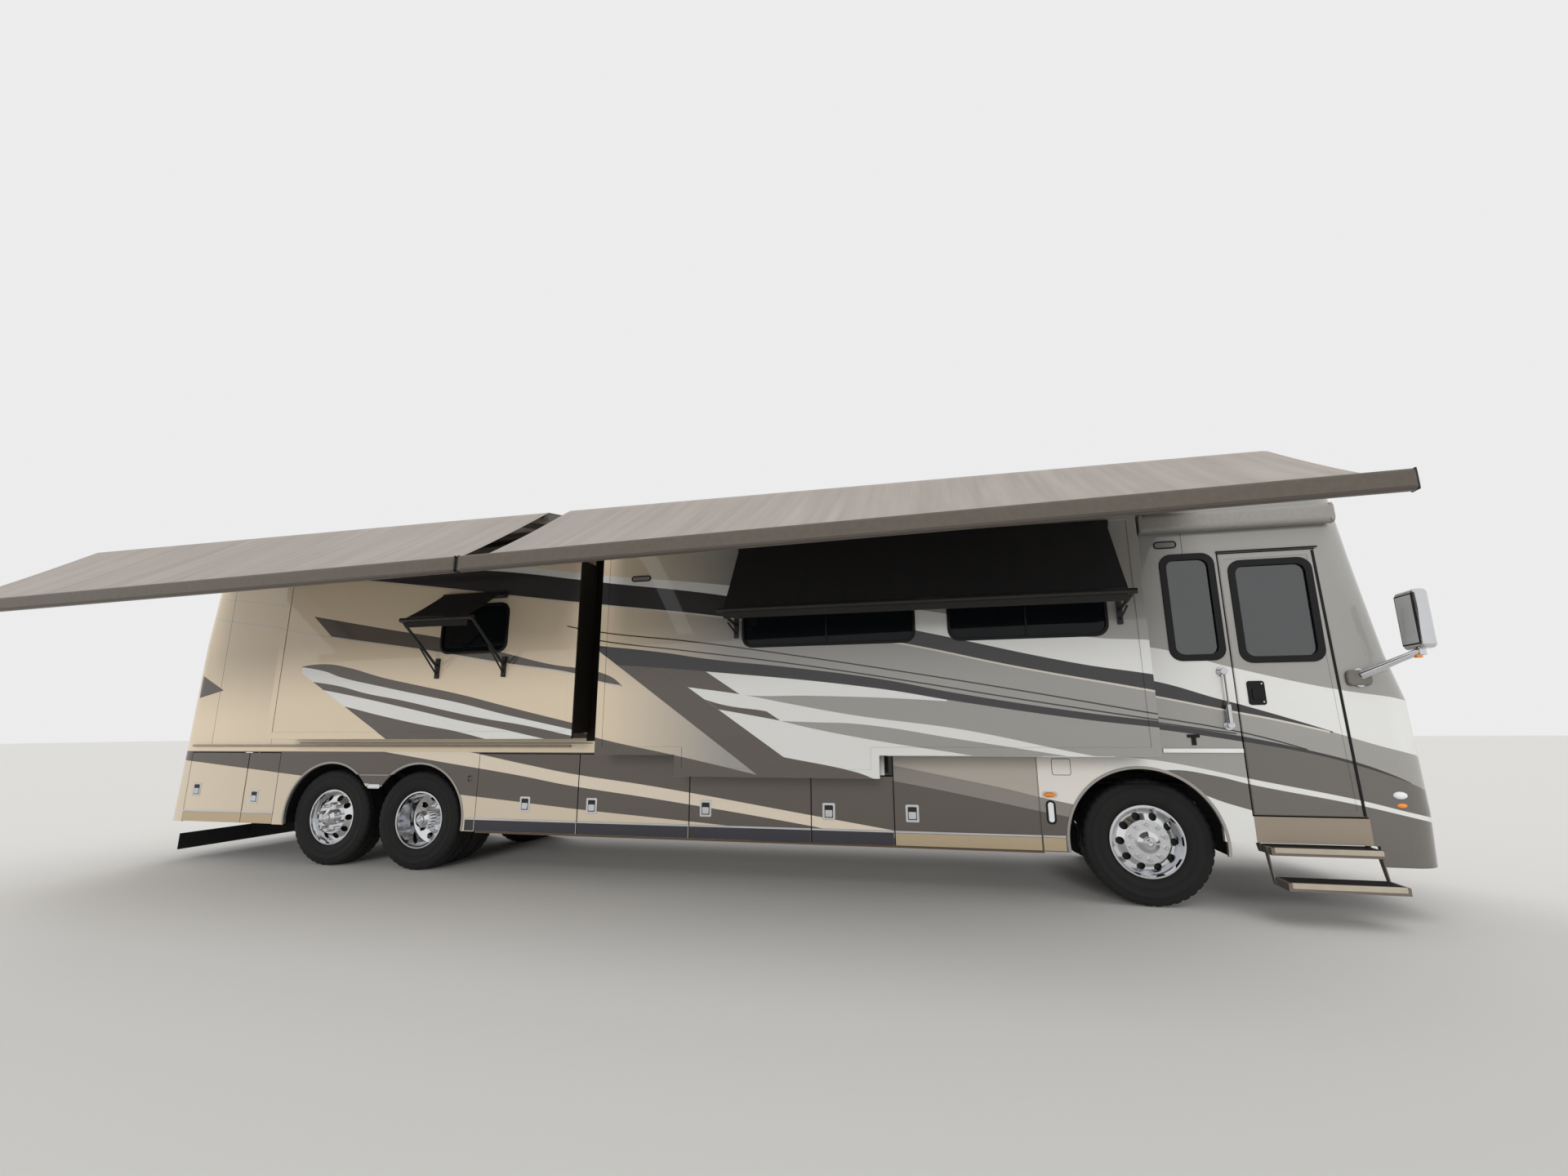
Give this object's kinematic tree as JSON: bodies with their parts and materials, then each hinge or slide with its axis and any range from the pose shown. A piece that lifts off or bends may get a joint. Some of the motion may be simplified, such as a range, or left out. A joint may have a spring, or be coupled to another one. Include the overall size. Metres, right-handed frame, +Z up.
{
  "type": "motorhome",
  "caption": "Rear-engine tag-axle motorhome parked with its slide-out rooms, entry steps and awnings out; doors, rooms, steering and wheels move.",
  "frame": {"origin": "middle of the whole footprint, awnings included, on the ground", "axes": "+X forward, +Y to the driver's side (left), +Z up; the entry door and awnings are on the -Y side"},
  "size_m": [13.095, 5.556, 3.8699],
  "materials": {
    "body_paint": "gloss two-stage paint with dark and light bands",
    "chassis_black": "satin black",
    "axle_iron": "painted",
    "engine_iron": "painted",
    "floor_wood": "covered plywood",
    "tinted_glass": "tinted",
    "lamp_plastic": "clear",
    "guard_rubber": "matte",
    "awning_metal": "powder coated",
    "awning_cloth": "woven acrylic",
    "bright_metal": "polished",
    "roof_plastic": "moulded",
    "dash_plastic": "moulded",
    "seat_leather": "soft",
    "tyre_rubber": "matte",
    "wheel_alloy": "mirror polished",
    "steel_black": "powder coated"
  },
  "bodies": {
    "coach": {"chassis_rails": "chassis_black", "crossmembers": "chassis_black", "axles": "axle_iron", "engine": "engine_iron", "floors": "floor_wood", "cab_floor": "floor_wood", "bulkheads": "floor_wood", "roof": "body_paint", "side_walls": "body_paint", "lower_panels": "body_paint", "front_cap": "body_paint", "rear_cap": "body_paint", "coach_glass": "tinted_glass", "lamps": "lamp_plastic", "rear_guard": "guard_rubber", "awning_hardware": "awning_metal", "awning_fabrics": "awning_cloth", "mirrors": "bright_metal", "roof_air_conditioners": "roof_plastic", "entry_steps": "steel_black", "dashboard": "dash_plastic", "cab_seats": "seat_leather"},
    "entry_door": {"entry_door": "body_paint", "entry_door_glass": "tinted_glass"},
    "engine_door": {"rear_engine_door": "body_paint"},
    "mid_slide": {"slide_mid": "body_paint", "slide_mid_skirt": "body_paint", "slide_mid_glass": "tinted_glass", "window_awning_mid": "steel_black"},
    "rear_slide": {"slide_rear": "body_paint", "slide_rear_glass": "tinted_glass", "window_awning_rear": "steel_black"},
    "left_slide": {"slide_left": "body_paint", "slide_left_glass": "tinted_glass"},
    "knuckle_right": {"knuckle_right": "axle_iron"},
    "front_wheel_right": {"tyre_front_right": "tyre_rubber", "wheel_front_right": "wheel_alloy"},
    "drive_wheel_right": {"tyres_drive_right": "tyre_rubber", "wheels_drive_right": "wheel_alloy"},
    "tag_wheel_right": {"tyre_tag_right": "tyre_rubber", "wheel_tag_right": "wheel_alloy"},
    "bay_door_right_1": {"bay_door_right_1": "body_paint"},
    "bay_door_right_2": {"bay_door_right_2": "body_paint"},
    "bay_door_right_3": {"bay_door_right_3": "body_paint"},
    "bay_door_right_4": {"bay_door_right_4": "body_paint"},
    "bay_door_right_5": {"bay_door_right_5": "body_paint"},
    "bay_door_right_6": {"bay_door_right_6": "body_paint"},
    "bay_door_right_7": {"bay_door_right_7": "body_paint"},
    "knuckle_left": {"knuckle_left": "axle_iron"},
    "front_wheel_left": {"tyre_front_left": "tyre_rubber", "wheel_front_left": "wheel_alloy"},
    "drive_wheel_left": {"tyres_drive_left": "tyre_rubber", "wheels_drive_left": "wheel_alloy"},
    "tag_wheel_left": {"tyre_tag_left": "tyre_rubber", "wheel_tag_left": "wheel_alloy"},
    "bay_door_left_3": {"bay_door_left_3": "body_paint"},
    "bay_door_left_4": {"bay_door_left_4": "body_paint"},
    "bay_door_left_5": {"bay_door_left_5": "body_paint"},
    "bay_door_left_6": {"bay_door_left_6": "body_paint"},
    "bay_door_left_7": {"bay_door_left_7": "body_paint"}
  },
  "joints": [
    {"name": "entry_door_hinge", "type": "hinge", "parent": "coach", "child": "entry_door", "pos_m": [5.9295, -0.238, 0.77], "axis": [-0.0236, 0, 0.9997], "range_deg": [0, 95]},
    {"name": "engine_door_hinge", "type": "hinge", "parent": "coach", "child": "engine_door", "pos_m": [-6.50536, 1.057, 1.5], "axis": [0, 1, 0], "range_deg": [0, 75]},
    {"name": "mid_slide_travel", "type": "slide", "parent": "coach", "child": "mid_slide", "axis": [0, 1, 0], "range_m": [0, 0.396]},
    {"name": "rear_slide_travel", "type": "slide", "parent": "coach", "child": "rear_slide", "axis": [0, 1, 0], "range_m": [0, 0.396]},
    {"name": "left_slide_travel", "type": "slide", "parent": "coach", "child": "left_slide", "axis": [0, -1, 0], "range_m": [0, 0.396]},
    {"name": "steer_right", "type": "hinge", "parent": "coach", "child": "knuckle_right", "pos_m": [4.3425, 0.157, 0.52], "axis": [0, 0, 1], "range_deg": [-38, 38]},
    {"name": "front_wheel_spin_right", "type": "hinge", "parent": "knuckle_right", "child": "front_wheel_right", "pos_m": [4.3425, 0.002, 0.52], "axis": [0, 1, 0], "continuous": true},
    {"name": "drive_wheel_spin_right", "type": "hinge", "parent": "coach", "child": "drive_wheel_right", "pos_m": [-2.9475, -0.048, 0.52], "axis": [0, 1, 0], "continuous": true},
    {"name": "tag_wheel_spin_right", "type": "hinge", "parent": "coach", "child": "tag_wheel_right", "pos_m": [-4.1275, -0.033, 0.52], "axis": [0, 1, 0], "continuous": true},
    {"name": "bay_door_right_1_hinge", "type": "hinge", "parent": "coach", "child": "bay_door_right_1", "pos_m": [-5.3505, -0.238, 0.8305], "axis": [0, 0, 1], "range_deg": [0, 88]},
    {"name": "bay_door_right_2_hinge", "type": "hinge", "parent": "coach", "child": "bay_door_right_2", "pos_m": [-4.8865, -0.238, 0.8305], "axis": [0, 0, 1], "range_deg": [0, 88]},
    {"name": "bay_door_right_3_hinge", "type": "hinge", "parent": "coach", "child": "bay_door_right_3", "pos_m": [-1.0045, -0.238, 0.8305], "axis": [0, 0, 1], "range_deg": [0, 88]},
    {"name": "bay_door_right_4_hinge", "type": "hinge", "parent": "coach", "child": "bay_door_right_4", "pos_m": [0.2155, -0.238, 0.8305], "axis": [0, 0, 1], "range_deg": [0, 88]},
    {"name": "bay_door_right_5_hinge", "type": "hinge", "parent": "coach", "child": "bay_door_right_5", "pos_m": [1.4375, -0.238, 0.8305], "axis": [0, 0, 1], "range_deg": [0, 88]},
    {"name": "bay_door_right_6_hinge", "type": "hinge", "parent": "coach", "child": "bay_door_right_6", "pos_m": [2.2125, -0.238, 0.8305], "axis": [0, 0, 1], "range_deg": [0, 88]},
    {"name": "bay_door_right_7_hinge", "type": "hinge", "parent": "coach", "child": "bay_door_right_7", "pos_m": [3.4805, -0.238, 0.8305], "axis": [0, 0, 1], "range_deg": [0, 88]},
    {"name": "steer_left", "type": "hinge", "parent": "coach", "child": "knuckle_left", "pos_m": [4.3425, 1.957, 0.52], "axis": [0, 0, 1], "range_deg": [-38, 38]},
    {"name": "front_wheel_spin_left", "type": "hinge", "parent": "knuckle_left", "child": "front_wheel_left", "pos_m": [4.3425, 2.112, 0.52], "axis": [0, 1, 0], "continuous": true},
    {"name": "drive_wheel_spin_left", "type": "hinge", "parent": "coach", "child": "drive_wheel_left", "pos_m": [-2.9475, 2.162, 0.52], "axis": [0, 1, 0], "continuous": true},
    {"name": "tag_wheel_spin_left", "type": "hinge", "parent": "coach", "child": "tag_wheel_left", "pos_m": [-4.1275, 2.147, 0.52], "axis": [0, 1, 0], "continuous": true},
    {"name": "bay_door_left_3_hinge", "type": "hinge", "parent": "coach", "child": "bay_door_left_3", "pos_m": [-1.0045, 2.352, 0.8305], "axis": [0, 0, -1], "range_deg": [0, 88]},
    {"name": "bay_door_left_4_hinge", "type": "hinge", "parent": "coach", "child": "bay_door_left_4", "pos_m": [0.2155, 2.352, 0.8305], "axis": [0, 0, -1], "range_deg": [0, 88]},
    {"name": "bay_door_left_5_hinge", "type": "hinge", "parent": "coach", "child": "bay_door_left_5", "pos_m": [1.4375, 2.352, 0.8305], "axis": [0, 0, -1], "range_deg": [0, 88]},
    {"name": "bay_door_left_6_hinge", "type": "hinge", "parent": "coach", "child": "bay_door_left_6", "pos_m": [2.2125, 2.352, 0.8305], "axis": [0, 0, -1], "range_deg": [0, 88]},
    {"name": "bay_door_left_7_hinge", "type": "hinge", "parent": "coach", "child": "bay_door_left_7", "pos_m": [3.4805, 2.352, 0.8305], "axis": [0, 0, -1], "range_deg": [0, 88]}
  ],
  "couplings": [
    {"joint": "steer_left", "follows": "steer_right", "ratio": 1}
  ]
}
